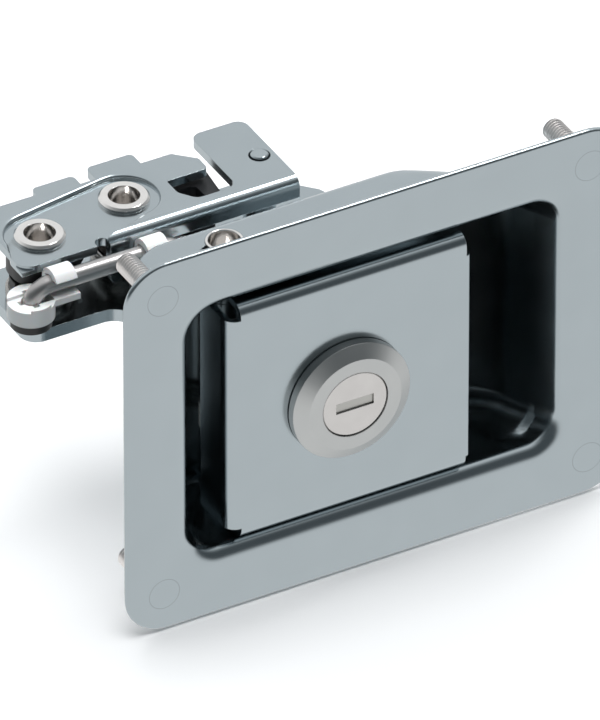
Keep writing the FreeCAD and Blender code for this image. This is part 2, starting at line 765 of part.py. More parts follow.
def make_top_plate():
    body = new_body("top_plate")
    low = "latch_top - plate_wall"
    plan = outline(body, "XY_Plane", [
        ("latch_left", "latch_near"),
        ("latch_right", "latch_near"),
        ("latch_right", "arm_far"),
        ("arm_left", "arm_far"),
        ("arm_left", "notch_bottom"),
        ("notch_left + notch_bevel", "notch_bottom"),
        ("notch_left", "notch_bottom + 1.4 * notch_bevel"),
        ("notch_left", "lobe_near"),
        ("lobe_tip", "lobe_near"),
        ("lobe_tip", "lobe_far - lobe_slant"),
        ("lobe_tip - lobe_slant", "lobe_far"),
        ("tab_two_right", "lobe_far"),
        ("tab_two_right", "tab_two_far"),
        ("tab_two_left", "tab_two_far"),
        ("tab_two_left", "latch_far - tab_relief_depth"),
        ("tab_one_right", "latch_far - tab_relief_depth"),
        ("tab_one_right", "tab_one_far"),
        ("tab_one_left", "tab_one_far"),
        ("tab_one_left", "latch_far"),
        ("latch_left", "latch_far")], lift=low)
    pad(body, plan, "plate_wall")
    round_corners(body, plan, [0, 19], "plate_corner_round")
    round_corners(body, plan, [2, 3], "arm_round")
    round_corners(body, plan, [4, 5, 6], "arm_round")
    round_corners(body, plan, [8, 9, 10], "lobe_slant / 4")
    round_corners(body, plan, [12, 13, 16, 17], "arm_round / 2")
    pressed_panel(body, "latch_top", "recess_depth", "recess_radius", pocket, False)
    pressed_panel(body, low, "recess_depth", "recess_radius", pad, True)
    relief = outline(body, "XY_Plane", rectangle(
        "bend_start - bend_relief", "latch_near - 1", "bend_start", "latch_near + bend_relief_depth"),
        lift=f"{low} - 2")
    pocket(body, relief, "plate_wall + 4", reverse=True)
    round_corners(body, relief, [2, 3], "bend_relief * 0.48")
    flange = outline(body, "XZ_Plane", [
        ("bend_start", "latch_top - plate_wall"),
        ("bend_start", "latch_top - bend_tab_drop"),
        ("bend_start + bend_tab_width", "latch_top - bend_tab_drop"),
        ("bend_start + bend_tab_width", "latch_top - bend_drop"),
        ("latch_right", "latch_top - bend_drop"),
        ("latch_right", "latch_top - plate_wall")], lift="-latch_near")
    pad(body, flange, "plate_wall", reverse=True)
    round_corners(body, flange, [1, 2], "bend_tab_width * 0.45")
    near_y, top_z = size("latch_near"), size("latch_top")
    fold = edges_near(body.Tip, lambda point: abs(point.y - near_y) < 1e-3 and abs(point.z - top_z) < 1e-3)
    rounded(body, fold, "plate_bend_round")
    holes = discs(body, "XY_Plane", [(across, up, "rivet_radius + fit_gap") for across, up in LATCH_PIVOTS]
                  + [("pin_x", "pin_y", "pin_hole_radius")], lift=f"{low} - 2")
    pocket(body, holes, "plate_wall + 4", reverse=True)


# Bottom bracket: the latch's lower plate, necked forward and folded down where it is welded to the dish

BRACKET_TOP = "latch_top - plate_wall - latch_inside"
BRACKET_LOW = "latch_top - plate_wall - latch_inside - bracket_wall"


def make_bottom_bracket():
    body = new_body("bottom_bracket")
    back = "pan_depth + dish_wall"
    plan = outline(body, "XY_Plane", [
        ("latch_left", "bracket_near"),
        ("bracket_neck_x", "bracket_near"),
        ("bracket_neck_x", back),
        ("bracket_wing", back),
        ("bracket_wing", "arm_far - bracket_wing_cut"),
        ("latch_right + 3.4", "arm_far"),
        ("striker_right", "arm_far"),
        ("striker_right", "notch_bottom"),
        ("striker_left", "notch_bottom"),
        ("striker_left", "latch_far"),
        ("latch_left", "latch_far")], lift=BRACKET_LOW)
    pad(body, plan, "bracket_wall")
    round_corners(body, plan, [0, 10, 4], "bracket_corner_round")
    round_corners(body, plan, [1], "bracket_neck_round")
    round_corners(body, plan, [7, 8], "(striker_right - striker_left) * 0.49")
    round_corners(body, plan, [5, 6, 9], "arm_round")
    foot = outline(body, "XZ_Plane", rectangle(
        "bracket_neck_x", f"{BRACKET_TOP} - bracket_foot_drop", "bracket_wing", BRACKET_LOW),
        lift=f"-({back})")
    pad(body, foot, "bracket_wall", reverse=True)
    round_corners(body, foot, [0, 1], "bracket_corner_round")
    holes = discs(body, "XY_Plane", [(across, up, "rivet_radius + fit_gap") for across, up in LATCH_PIVOTS]
                  + [("pin_x", "pin_y", "pin_radius + fit_gap")], lift=f"{BRACKET_LOW} - 1")
    pocket(body, holes, "bracket_wall + 2", reverse=True)


# Hollow rivets, spacer sleeves and the pin that hold the two plates apart

def at_pivots(label, corners):
    model = turned_tool(f"{label}_model", "XZ_Plane", "V_Axis", corners)
    copies = []
    for across, up in LATCH_PIVOTS:
        copy = model.Shape.copy()
        copy.translate(FreeCAD.Vector(size(across), size(up), 0))
        copies.append(copy)
    return copies


def make_rivets():
    seat = "latch_top - recess_depth"
    foot = BRACKET_LOW
    add_group("hollow_rivets", at_pivots("rivet", [
        ("rivet_mouth_radius", f"{seat} + rivet_head"),
        ("rivet_head_radius - 0.5", f"{seat} + rivet_head"),
        ("rivet_head_radius", f"{seat} + rivet_head - 0.5"),
        ("rivet_head_radius", seat),
        ("rivet_radius", seat),
        ("rivet_radius", foot),
        ("rivet_foot_radius", foot),
        ("rivet_foot_radius", f"{foot} - rivet_foot * 0.5"),
        ("rivet_radius", f"{foot} - rivet_foot"),
        ("rivet_bore", f"{foot} - rivet_foot"),
        ("rivet_bore", f"{seat} + rivet_head - rivet_mouth_depth - 0.6"),
        ("rivet_mouth_radius", f"{seat} + rivet_head - rivet_mouth_depth")]))


def make_sleeve(label, pivot, top):
    turned(label, "XZ_Plane", "V_Axis", [
        ("rivet_radius + fit_gap", BRACKET_TOP), ("sleeve_radius", BRACKET_TOP),
        ("sleeve_radius", top), ("rivet_radius + fit_gap", top)], x=pivot[0], y=pivot[1])


def make_spacer_pin():
    turned("spacer_pin", "XZ_Plane", "V_Axis", [
        ("0", f"{BRACKET_LOW} - pin_stand"),
        ("pin_radius", f"{BRACKET_LOW} - pin_stand"),
        ("pin_radius", BRACKET_TOP),
        ("pin_body_radius", BRACKET_TOP),
        ("pin_body_radius", "latch_top - plate_wall"),
        ("pin_radius", "latch_top - plate_wall"),
        ("pin_radius", "latch_top + pin_stand - 0.3"),
        ("pin_radius - 0.3", "latch_top + pin_stand"),
        ("0", "latch_top + pin_stand")], x="pin_x", y="pin_y")


# Trigger lever and pawl: they turn together on the left rivet

LEVER_TOP = "clip_top - clip_height"
LEVER_LOW = "clip_top - clip_height - lever_wall"


def make_trigger_lever():
    body = new_body("trigger_lever")
    plan = outline(body, "XY_Plane", [
        ("left_pivot_x - hub_radius", "left_pivot_y + hub_radius"),
        ("left_pivot_x - hub_radius", "left_pivot_y - 1"),
        ("rod_left - lever_end_radius", "rod_y + 1"),
        ("rod_left - lever_end_radius", "rod_y - lever_end_radius"),
        ("rod_left + lever_end_radius", "rod_y - lever_end_radius"),
        ("rod_left + lever_end_radius", "rod_y + 1"),
        ("left_pivot_x + hub_radius", "left_pivot_y - 3"),
        ("left_pivot_x + hub_radius", "left_pivot_y + hub_radius")], lift=LEVER_LOW)
    pad(body, plan, "lever_wall")
    round_corners(body, plan, [3, 4], "lever_end_radius - 0.05")
    round_corners(body, plan, [0, 7], "hub_radius - 0.05")
    holes = discs(body, "XY_Plane", [
        ("left_pivot_x", "left_pivot_y", "rivet_radius + running_gap"),
        ("rod_left", "rod_y", "clip_barrel_radius + running_gap")], lift=f"{LEVER_LOW} - 1")
    pocket(body, holes, "lever_wall + 2", reverse=True)


def make_pawl():
    """The nose stands on a radius of the rotor, and the hub reaches down to the trigger lever."""
    body = new_body("pawl")
    plan = outline(body, "XY_Plane", [
        ("right_pivot_x - 3.4", "right_pivot_y + 5.9"),
        ("right_pivot_x - 5.5", "right_pivot_y + 9.5"),
        ("left_pivot_x + 4.3", "left_pivot_y + 9.2"),
        ("left_pivot_x - hub_radius", "left_pivot_y + hub_radius"),
        ("left_pivot_x - hub_radius", "left_pivot_y - hub_radius"),
        ("left_pivot_x + 4.0", "left_pivot_y - hub_radius"),
        ("right_pivot_x - 10.0", "right_pivot_y - 2.5"),
        ("right_pivot_x - 8.9", "right_pivot_y + 2.0")], lift="moving_bottom")
    pad(body, plan, "moving_top - moving_bottom")
    round_corners(body, plan, [3, 4], "hub_radius - 0.1")
    round_corners(body, plan, [1, 6], "1")
    hub = discs(body, "XY_Plane", [("left_pivot_x", "left_pivot_y", "sleeve_radius")], lift=LEVER_TOP)
    pad(body, hub, f"moving_bottom - ({LEVER_TOP}) + 1")
    hole = discs(body, "XY_Plane", [("left_pivot_x", "left_pivot_y", "rivet_radius + running_gap")],
                 lift=f"{LEVER_TOP} - 1")
    pocket(body, hole, "latch_inside", reverse=True)


# Rotor: a forked hook whose toothed hub turns on the right rivet

def make_rotor():
    body = new_body("rotor")
    x, y = "right_pivot_x", "right_pivot_y"
    plan = outline(body, "XY_Plane", [
        (f"{x} - 3.7", f"{y} - 7.0"),
        (f"{x} + 5.5", f"{y} - 8.4"),
        (f"{x} + 12.3", "latch_near + plate_wall + 0.5"),
        ("striker_right - 1.6", "latch_near + plate_wall + 0.6"),
        ("striker_right - 1.6", "notch_bottom + 0.4"),
        ("striker_left + 1.8", "notch_bottom + 0.8"),
        ("striker_left + 0.4", "notch_bottom + 4.4"),
        ("striker_left + 1.8", "lobe_near + 0.2"),
        ("striker_right - 1.4", "lobe_near + 0.2"),
        ("striker_right - 1.2", "notch_bottom + 3.4"),
        ("arm_left - 1.9", "notch_bottom + 3.0"),
        ("arm_left - 0.8", "lobe_near + 4"),
        ("arm_left - 2.3", "lobe_far - 1"),
        ("striker_left + 1", "lobe_far - 0.8"),
        (f"{x} - 2.4", f"{y} + tooth_radius"),
        (f"{x} - 2.0", f"{y} + hub_radius * 0.9"),
        (f"{x} - 5.2", f"{y} + 3.4"),
        (f"{x} - 6.3", f"{y} - 0.4"),
        (f"{x} - 5.6", f"{y} - 4.2")], lift="moving_bottom")
    pad(body, plan, "moving_top - moving_bottom")
    round_corners(body, plan, [2, 3, 4, 9, 10, 12], "0.9")
    round_corners(body, plan, [5, 7, 8, 11], "1.3")
    hole = discs(body, "XY_Plane", [(x, y, "rivet_radius + running_gap")], lift="moving_bottom - 1")
    pocket(body, hole, "moving_top - moving_bottom + 2", reverse=True)


# Pull rod: a round wire with both ends turned down into the clips

def make_pull_rod():
    parts = [rod_along("rod_middle", X_WAY, "rod_left + rod_bend", "rod_y", "rod_z", "rod_radius",
                       "rod_right - rod_left - 2 * rod_bend")]
    for name, end, sign in (("left", "rod_left", 1), ("right", "rod_right", -1)):
        parts.append(rod_along(f"rod_foot_{name}", Z_WAY, end, "rod_y", "rod_foot", "rod_radius",
                               "rod_z - rod_bend - rod_foot"))
        bend = doc.addObject("Part::Torus", f"rod_bend_{name}")
        bind(bend, Radius1="rod_bend", Radius2="rod_radius", Placement__Base__y="rod_y",
             Placement__Base__x=f"{end} + {sign} * rod_bend", Placement__Base__z="rod_z - rod_bend")
        bend.Angle3 = 90
        upright = FreeCAD.Rotation(X_WAY, 90)
        turn_left = FreeCAD.Rotation(Y_WAY, -90) if sign > 0 else FreeCAD.Rotation()
        bend.Placement.Rotation = turn_left.multiply(upright)
        parts.append(bend)
    node(all_joined("pull_rod_joined", parts), "pull_rod")


# Clips: a ring over the rod's foot, with a tongue and a snap arm over the rod

def make_clip(label, end, sign):
    low = LEVER_TOP
    head = rod_along(f"{label}_head", Z_WAY, end, "rod_y", low, "clip_radius", "clip_height")
    barrel = rod_along(f"{label}_barrel", Z_WAY, end, "rod_y", "clip_barrel_foot",
                       "clip_barrel_radius", f"{low} - clip_barrel_foot + 0.5")
    reach = "clip_reach"
    start = end if sign > 0 else f"{end} - {reach}"
    tongue = block(f"{label}_tongue", start, "rod_y - clip_tongue_half", "clip_top - 2.2",
                   reach, "2 * clip_tongue_half", "clip_tongue")
    arm_start = f"{end} + clip_arm_start" if sign > 0 else f"{end} - clip_arm_start - clip_arm_length"
    arm = rod_along(f"{label}_arm", X_WAY, arm_start, "rod_y", "rod_z", "clip_arm_radius", "clip_arm_length")
    web = block(f"{label}_web", arm_start, "rod_y + rod_radius", "clip_top - 2.2",
                "clip_arm_length", "clip_arm_radius - rod_radius", "rod_z - clip_top + 2.2")
    body = all_joined(f"{label}_joined", [head, barrel, tongue, arm, web])
    channel = rod_along(f"{label}_channel", X_WAY, f"{start} - 12", "rod_y", "rod_z",
                        "rod_radius + fit_gap", f"{reach} + 24")
    gap = block(f"{label}_gap", f"{start} - 12", "rod_y - clip_arm_radius - 1", "clip_top - 0.7",
                f"{reach} + 24", "clip_arm_radius + 1 + rod_radius", "rod_z + clip_arm_lip - clip_top + 0.7")
    eye = rod_along(f"{label}_eye", Z_WAY, end, "rod_y", "clip_barrel_foot - 1", "rod_radius + fit_gap", "12")
    slots = [block(f"{label}_slot_{number}", f"{end} - {half_x}", f"rod_y - {half_y}", "clip_top - 1.6",
                   f"2 * {half_x}", f"2 * {half_y}", "4")
             for number, (half_x, half_y) in enumerate((("2.9", "0.7"), ("0.7", "2.9")), start=1)]
    bend_room = block(f"{label}_bend_room", end if sign > 0 else f"{end} - rod_bend",
                      "rod_y - rod_radius - fit_gap", "clip_top - 3.6",
                      "rod_bend", "2 * (rod_radius + fit_gap)", "4")
    hollow = all_joined(f"{label}_hollow", [channel, gap, eye, bend_room] + slots)
    node(joined("Cut", f"{label}_cut", body, hollow), label)


# Springs: round wire wound in an open coil, with straight legs

def coil_path(x, y, low, radius, pitch, half_turns, first_leg, last_leg):
    """A leg, half turns as arcs that meet in line, and the other leg; the legs lie along Y."""
    step = FreeCAD.Vector(0, 0, pitch / 2)
    side = 1
    point = FreeCAD.Vector(x + radius, y, low)
    edges = [Part.LineSegment(point - Y_WAY * first_leg, point).toShape()]
    for _ in range(half_turns):
        middle = FreeCAD.Vector(x, y + side * radius, point.z) + step / 2
        side = -side
        following = FreeCAD.Vector(x + side * radius, y, point.z) + step
        edges.append(Part.Arc(point, middle, following).toShape())
        point = following
    edges.append(Part.LineSegment(point, point + Y_WAY * side * last_leg).toShape())
    return Part.Wire(edges)


def make_spring(label, path, wire):
    start = path.Edges[0].Vertexes[0].Point
    ring = Part.Wire([Part.Circle(start, Y_WAY, wire).toShape()])
    thing = doc.addObject("Part::Feature", label)
    thing.Shape = path.makePipeShell([ring], True, False)
    node(thing, label)


def make_springs():
    wire = size("wire_radius")
    pitch = size("coil_pitch_ratio") * wire
    low = size("latch_top") - size("plate_wall") - size("latch_inside") + wire + size("seat_gap")
    leg = size("latch_spring_leg")
    for label, side, half_turns in (("pawl_spring", "left", 3), ("rotor_spring", "right", 7)):
        place = (size(f"{side}_pivot_x"), size(f"{side}_pivot_y"), low)
        path = coil_path(*place, size("latch_coil_radius"), pitch, half_turns, leg, leg)
        make_spring(label, path, wire)
    to_floor = size("pan_depth") - size("pivot_y") - wire
    path = coil_path(size("pivot_x"), size("pivot_y"), size("paddle_coil_bottom"),
                     size("paddle_coil_radius"), pitch, int(2 * size("paddle_coil_turns")),
                     size("paddle_spring_leg"), to_floor)
    make_spring("paddle_spring", path, wire)


def build_all():
    make_dish()
    make_studs()
    make_pivot_tube()
    make_paddle()
    make_paddle_lever()
    make_lock()
    make_top_plate()
    make_bottom_bracket()
    make_rivets()
    make_sleeve("trigger_sleeve", LATCH_PIVOTS[0], LEVER_LOW)
    make_sleeve("rotor_sleeve", LATCH_PIVOTS[1], "moving_bottom")
    make_spacer_pin()
    make_trigger_lever()
    make_pawl()
    make_rotor()
    make_pull_rod()
    make_clip("clip_left", "rod_left", 1)
    make_clip("clip_right", "rod_right", -1)
    make_springs()


build_all()

for thing in doc.Objects:
    if "Invalid" in thing.State or "Error" in thing.State:
        raise ValueError(f"{thing.Label} failed: {thing.State}")

os.makedirs("parts", exist_ok=True)
for thing in NODES:
    shape = thing.Shape
    if shape.isNull() or not shape.isValid():
        raise ValueError(f"{thing.Label} has no valid shape")
    print(thing.Label, round(shape.Volume, 1), len(shape.Solids))
    shape.exportStep(f"parts/{thing.Label}.step")
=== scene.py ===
import math

import bmesh
import bpy
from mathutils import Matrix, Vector


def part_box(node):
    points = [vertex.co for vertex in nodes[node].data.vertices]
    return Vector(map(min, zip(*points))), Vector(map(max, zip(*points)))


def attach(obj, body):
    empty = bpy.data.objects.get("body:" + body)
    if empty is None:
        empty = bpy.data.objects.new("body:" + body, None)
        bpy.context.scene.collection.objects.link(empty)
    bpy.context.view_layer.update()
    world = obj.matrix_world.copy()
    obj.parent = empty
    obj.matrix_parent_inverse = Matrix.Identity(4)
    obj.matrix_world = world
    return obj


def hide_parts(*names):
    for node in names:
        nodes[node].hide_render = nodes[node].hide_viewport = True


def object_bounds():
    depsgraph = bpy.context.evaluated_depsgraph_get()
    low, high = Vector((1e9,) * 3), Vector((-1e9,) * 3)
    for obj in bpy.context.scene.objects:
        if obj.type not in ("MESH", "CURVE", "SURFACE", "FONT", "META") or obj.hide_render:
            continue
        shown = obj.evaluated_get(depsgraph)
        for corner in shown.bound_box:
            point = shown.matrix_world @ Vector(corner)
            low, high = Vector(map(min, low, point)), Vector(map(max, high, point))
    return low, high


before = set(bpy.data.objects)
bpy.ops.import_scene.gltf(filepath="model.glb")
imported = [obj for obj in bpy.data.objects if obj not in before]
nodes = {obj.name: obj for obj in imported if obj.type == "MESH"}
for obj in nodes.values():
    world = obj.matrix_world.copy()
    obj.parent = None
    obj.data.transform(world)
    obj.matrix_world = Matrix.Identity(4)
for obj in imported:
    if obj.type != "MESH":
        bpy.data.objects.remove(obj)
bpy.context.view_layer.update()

# Every size is in metres, in the frame of the solids: X to the right, Y to the back and Z up.

# Sheet metal. The dish, the paddle, its lever and both plates of the rotary latch are cold-rolled steel,
# drawn or folded and then zinc plated with a blue passivation, as the spacer pin is: a light blue-grey metal
# that mirrors soft light, over the grain of the rolled sheet, which is drawn coarse enough to show.

ZINC = "#B1BABE"
ZINC_SHADE = "#ABB4B8"
ZINC_ROUGHNESS = 0.2
SMOOTHER = 0.03
ROUGHER = 0.05
CLOUD_SIZE = 0.009
GRAIN_SIZE = 0.00018
GRAIN_DETAIL = 1.0
GRAIN_STRENGTH = 0.06
RELIEF_DEPTH = 0.00002
FOLD_EDGE = 0.00022
EDGE_SAMPLES = 4
# The numbers of a Mix node's two colour inputs and of its colour output.
MIX_FIRST = 6
MIX_SECOND = 7
MIXED = 2


def linear(code):
    """An sRGB hex colour as linear RGBA."""
    shares = [int(code[k:k + 2], 16) / 255 for k in (1, 3, 5)]
    return [s / 12.92 if s <= 0.04045 else ((s + 0.055) / 1.055) ** 2.4 for s in shares] + [1.0]


def add(tree, kind, settings, links=()):
    """One node of a tree: settings go to its inputs or properties, and links go into its inputs."""
    made = tree.nodes.new(kind)
    for name, value in settings.items():
        if isinstance(name, int) or name in made.inputs:
            made.inputs[name].default_value = value
        else:
            setattr(made, name, value)
    for name, socket in links:
        tree.links.new(socket, made.inputs[name])
    return made


def finish(name, settings):
    """A material whose Principled shader has these settings; gives the material, its tree and the shader."""
    material = bpy.data.materials.new(name)
    material.use_nodes = True
    tree = material.node_tree
    shader = tree.nodes["Principled BSDF"]
    for key, value in settings.items():
        shader.inputs[key].default_value = value
    return material, tree, shader


def two_tones(tree, shader, factor, shade, colour):
    """The base colour runs from a shade to a colour with a factor from 0 to 1."""
    tones = add(tree, "ShaderNodeMix",
                {"data_type": "RGBA", MIX_FIRST: linear(shade), MIX_SECOND: linear(colour)},
                [("Factor", factor)])
    tree.links.new(tones.outputs[MIXED], shader.inputs["Base Color"])


def uneven_gloss(tree, shader, factor, smooth, rough):
    """The roughness runs from smooth to rough with a factor from 0 to 1."""
    spread = add(tree, "ShaderNodeMapRange", {"To Min": smooth, "To Max": rough}, [("Value", factor)])
    tree.links.new(spread.outputs[0], shader.inputs["Roughness"])


def relief(tree, shader, height, strength, depth, edge=None):
    """Fine relief of a depth in metres; sharp edges are broken to the edge radius, where one is given."""
    links = [("Height", height)]
    if edge:
        broken = add(tree, "ShaderNodeBevel", {"samples": EDGE_SAMPLES, "Radius": edge})
        links.append(("Normal", broken.outputs["Normal"]))
    bump = add(tree, "ShaderNodeBump", {"Strength": strength, "Distance": depth}, links)
    tree.links.new(bump.outputs["Normal"], shader.inputs["Normal"])


def plated(name, colour, shade, roughness, edge=FOLD_EDGE):
    """Plated metal: faint clouds in colour and gloss, and a fine grain."""
    material, tree, shader = finish(name, {"Metallic": 1.0})
    place = add(tree, "ShaderNodeTexCoord", {}).outputs["Object"]
    cloud = add(tree, "ShaderNodeTexNoise", {"Scale": 1 / CLOUD_SIZE}, [("Vector", place)])
    grain = add(tree, "ShaderNodeTexNoise", {"Scale": 1 / GRAIN_SIZE, "Detail": GRAIN_DETAIL},
                [("Vector", place)])
    two_tones(tree, shader, cloud.outputs["Fac"], shade, colour)
    uneven_gloss(tree, shader, cloud.outputs["Fac"], roughness - SMOOTHER, roughness + ROUGHER)
    relief(tree, shader, grain.outputs["Fac"], GRAIN_STRENGTH, RELIEF_DEPTH, edge)
    return material


def wear(material, *names):
    """CAD nodes take a material in every slot."""
    for name in names:
        slots = nodes[name].data.materials
        slots.clear()
        slots.append(material)


zinc = plated("blue zinc plated sheet", ZINC, ZINC_SHADE, ZINC_ROUGHNESS)
wear(zinc, "bottom_bracket", "paddle_lever", "spacer_pin")

# Dish. One sheet is drawn into a flange and a deep pan. Its mouth is rolled over a wide round, the wall at
# the fingers' end is one long curve from the mouth to the floor, and the flange's cut edges are tumbled to a
# small radius. Welding the studs leaves a faint ring on the front of the flange over each of them; the ring
# is painted darker all round, a painted shade that stands in for the shade along its shallow edge.

# The solid's own sizes.
SHEET = 0.0015
STUD_RADIUS = 0.0025
MOUTH_HALF_WIDTH = 0.0443
MOUTH_HALF_HEIGHT = 0.03105
MOUTH_CORNER = 0.007
MOUTH_ROLL = 0.003
SOLID_RAMP_TOP = 0.0055
SOLID_RAMP_RUN = 0.020
RAMP_FOOT = 0.0238
# The drawn form's.
ROLL_WIDTH = 1.45
RAMP_SLOPE = 0.5
RAMP_SWEEP = 0.011
RAMP_LEVELS = 26
RAMP_REGION = 0.018
OUTER_SET = 0.00066
FLANGE_EDGE = 0.0007
FLANGE_STEPS = 6
RIM_ANGLE = math.radians(60)
DISH_SMOOTH = 25
# The weld rings' colour: a real ring, painted darker all round as painted shade along its edge.
WELD_RING_AND_SHADE = "#5F696E"
MARK_RADIUS = 0.0036
MARK_LINE = 0.00014
MARK_SHARE = 0.35
ALONG_Y = 1
FLAT_ANGLE = math.radians(0.5)
SAME_POINT = 1e-6
CUT_LIMIT = 1e-7
NEAR = 1e-5

dish_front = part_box("dish")[0].y
stud_low, stud_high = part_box("weld_studs")


def merged_copy(name):
    """A node's own mesh with its loose triangles joined and its flat faces made whole."""
    bm = bmesh.new()
    bm.from_mesh(nodes[name].data)
    bmesh.ops.remove_doubles(bm, verts=bm.verts, dist=SAME_POINT)
    bmesh.ops.dissolve_limit(bm, angle_limit=FLAT_ANGLE, verts=bm.verts, edges=bm.edges)
    return bm


def whole(bm):
    return bm.verts[:] + bm.edges[:] + bm.faces[:]


def bevelled(bm, edges, offset, segments):
    bmesh.ops.bevel(bm, geom=edges, offset=offset, segments=segments, profile=0.5,
                    affect="EDGES", material=-1)


def mesh_object(name, bm, material, body, smooth_angle):
    """A finished mesh as a piece on a body; faces that meet under the angle are shaded as one surface."""
    mesh = bpy.data.meshes.new(name)
    bm.to_mesh(mesh)
    bm.free()
    mesh.materials.append(material)
    mesh.shade_smooth()
    mesh.set_sharp_from_angle(angle=math.radians(smooth_angle))
    piece = bpy.data.objects.new(name, mesh)
    bpy.context.scene.collection.objects.link(piece)
    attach(piece, body)
    return piece


def straight_wall(depth):
    """The solid's wall at a depth: the mouth's roll, a short straight stretch and a plane ramp."""
    if depth < dish_front + MOUTH_ROLL:
        share = (dish_front + MOUTH_ROLL - depth) / MOUTH_ROLL
        return MOUTH_HALF_WIDTH + MOUTH_ROLL - MOUTH_ROLL * math.sin(math.acos(share))
    fallen = max(0.0, (depth - SOLID_RAMP_TOP) / (RAMP_FOOT - SOLID_RAMP_TOP))
    return MOUTH_HALF_WIDTH - SOLID_RAMP_RUN * fallen


def leaving_wall(depth):
    """The straight line on which the drawn wall leaves the roll, where their slopes meet."""
    return ramp_start_x - RAMP_SLOPE * (depth - ramp_start_y)


def curved_wall(depth):
    """The drawn wall: it leaves the roll steeply and sweeps out to the floor."""
    swept = max(0.0, (depth - RAMP_SWEEP) / (RAMP_FOOT - RAMP_SWEEP))
    return leaving_wall(depth) - swept ** 2 * foot_gap


def curve_ramp(vert):
    """Moves a point of the ramp to the curve; the outer skin follows the curve a little deeper."""
    depth = vert.co.y
    if vert.co.x > straight_wall(depth) + SHEET / 2:
        depth -= OUTER_SET
    if ramp_start_y < depth < RAMP_FOOT:
        vert.co.x += curved_wall(depth) - straight_wall(depth)


def widen_roll(vert):
    """Moves a point of the roll away from the mouth, round its corners too."""
    past_x = max(0.0, abs(vert.co.x) - MOUTH_HALF_WIDTH + MOUTH_CORNER)
    past_z = max(0.0, abs(vert.co.z) - MOUTH_HALF_HEIGHT + MOUTH_CORNER)
    arm = Vector((past_x, past_z))
    beyond = arm.length - MOUTH_CORNER
    if 0 < beyond < MOUTH_ROLL + NEAR:
        shift = arm.normalized() * beyond * (ROLL_WIDTH - 1)
        vert.co.x += math.copysign(shift.x, vert.co.x)
        vert.co.z += math.copysign(shift.y, vert.co.z)


def is_rim(edge):
    """An edge of the flange's outline, on its front or back."""
    start, end = (vert.co for vert in edge.verts)
    middle = (start + end) / 2
    outside = abs(middle.x) > stud_high.x or abs(middle.z) > stud_high.z
    level = abs(start.y - end.y) < SAME_POINT
    return outside and level and middle.y < NEAR and edge.calc_face_angle(0) > RIM_ANGLE


def off_axis(tree, place, centre, axis):
    """How far a place is from a line through centre; axis is the coordinate that runs along the line."""
    across = [0.0 if k == axis else 1.0 for k in range(3)]
    moved = add(tree, "ShaderNodeVectorMath", {"operation": "SUBTRACT", 1: centre}, [(0, place)])
    flat = add(tree, "ShaderNodeVectorMath", {"operation": "MULTIPLY", 1: across}, [(0, moved.outputs[0])])
    return add(tree, "ShaderNodeVectorMath", {"operation": "LENGTH"}, [(0, flat.outputs[0])]).outputs["Value"]


def weld_rings_and_painted_shade(material, x, z):
    """A faint ring of painted shade on the sheet round each of four places that mirror one another in x and
    z.
    """
    tree = material.node_tree
    colour = tree.nodes["Principled BSDF"].inputs["Base Color"]
    place = add(tree, "ShaderNodeTexCoord", {}).outputs["Object"]
    corner = add(tree, "ShaderNodeVectorMath", {"operation": "ABSOLUTE"}, [(0, place)])
    radius = off_axis(tree, corner.outputs[0], (x, 0, z), ALONG_Y)
    off = add(tree, "ShaderNodeMath", {"operation": "SUBTRACT", 1: MARK_RADIUS}, [(0, radius)])
    gap = add(tree, "ShaderNodeMath", {"operation": "ABSOLUTE"}, [(0, off.outputs[0])])
    line = add(tree, "ShaderNodeMapRange", {"From Max": MARK_LINE, "To Min": MARK_SHARE, "To Max": 0.0},
               [("Value", gap.outputs[0])])
    # The ring's painted shade is mixed over the sheet's own colour.
    painted_ring_shade = add(tree, "ShaderNodeMix", {"data_type": "RGBA", MIX_SECOND: linear(WELD_RING_AND_SHADE)},
                 [("Factor", line.outputs[0]), (MIX_FIRST, colour.links[0].from_socket)])
    tree.links.new(painted_ring_shade.outputs[MIXED], colour)


leaving_angle = math.atan2(1, RAMP_SLOPE)
ramp_start_x = MOUTH_HALF_WIDTH + MOUTH_ROLL * (1 - math.sin(leaving_angle))
ramp_start_y = dish_front + MOUTH_ROLL * (1 - math.cos(leaving_angle))
foot_gap = leaving_wall(RAMP_FOOT) - straight_wall(RAMP_FOOT)
dish_mesh = merged_copy("dish")
for number in range(RAMP_LEVELS):
    level = ramp_start_y + (RAMP_FOOT - ramp_start_y) * (number + 0.5) / RAMP_LEVELS
    bmesh.ops.bisect_plane(dish_mesh, geom=whole(dish_mesh), dist=CUT_LIMIT,
                           plane_co=(0, level, 0), plane_no=(0, 1, 0))
for vert in dish_mesh.verts:
    if vert.co.x > RAMP_REGION:
        curve_ramp(vert)
for vert in dish_mesh.verts:
    if vert.co.y < dish_front + MOUTH_ROLL - SAME_POINT:
        widen_roll(vert)
bevelled(dish_mesh, [edge for edge in dish_mesh.edges if is_rim(edge)], FLANGE_EDGE, FLANGE_STEPS)
dish_zinc = plated("blue zinc plated dish", ZINC, ZINC_SHADE, ZINC_ROUGHNESS)
weld_rings_and_painted_shade(dish_zinc, stud_high.x - STUD_RADIUS, stud_high.z - STUD_RADIUS)
pressed_dish = mesh_object("pressed_dish", dish_mesh, dish_zinc, "housing", DISH_SMOOTH)
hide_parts("dish")

# Paddle. A sheet is folded back on four sides. The long folds above and below are drawn with a wide radius,
# and the flanges behind them carry the ears of the pivot. The lower edge lies close over the mouth's edge.

SOLID_FOLD = 0.0014
FOLD_RADIUS = 0.0029
FOLD_STEPS = 10
LOWERED_BELOW = -0.02
LOWERED_BY = 0.001
PADDLE_SMOOTH = 25

paddle_low, paddle_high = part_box("paddle")
fold_y = paddle_low.y
fold_z = paddle_high.z


def near_fold(vert, reach):
    """A point within reach of where the front face and a long side would meet if they weren't rounded."""
    return vert.co.y < fold_y + reach + SAME_POINT and abs(vert.co.z) > fold_z - reach - SAME_POINT


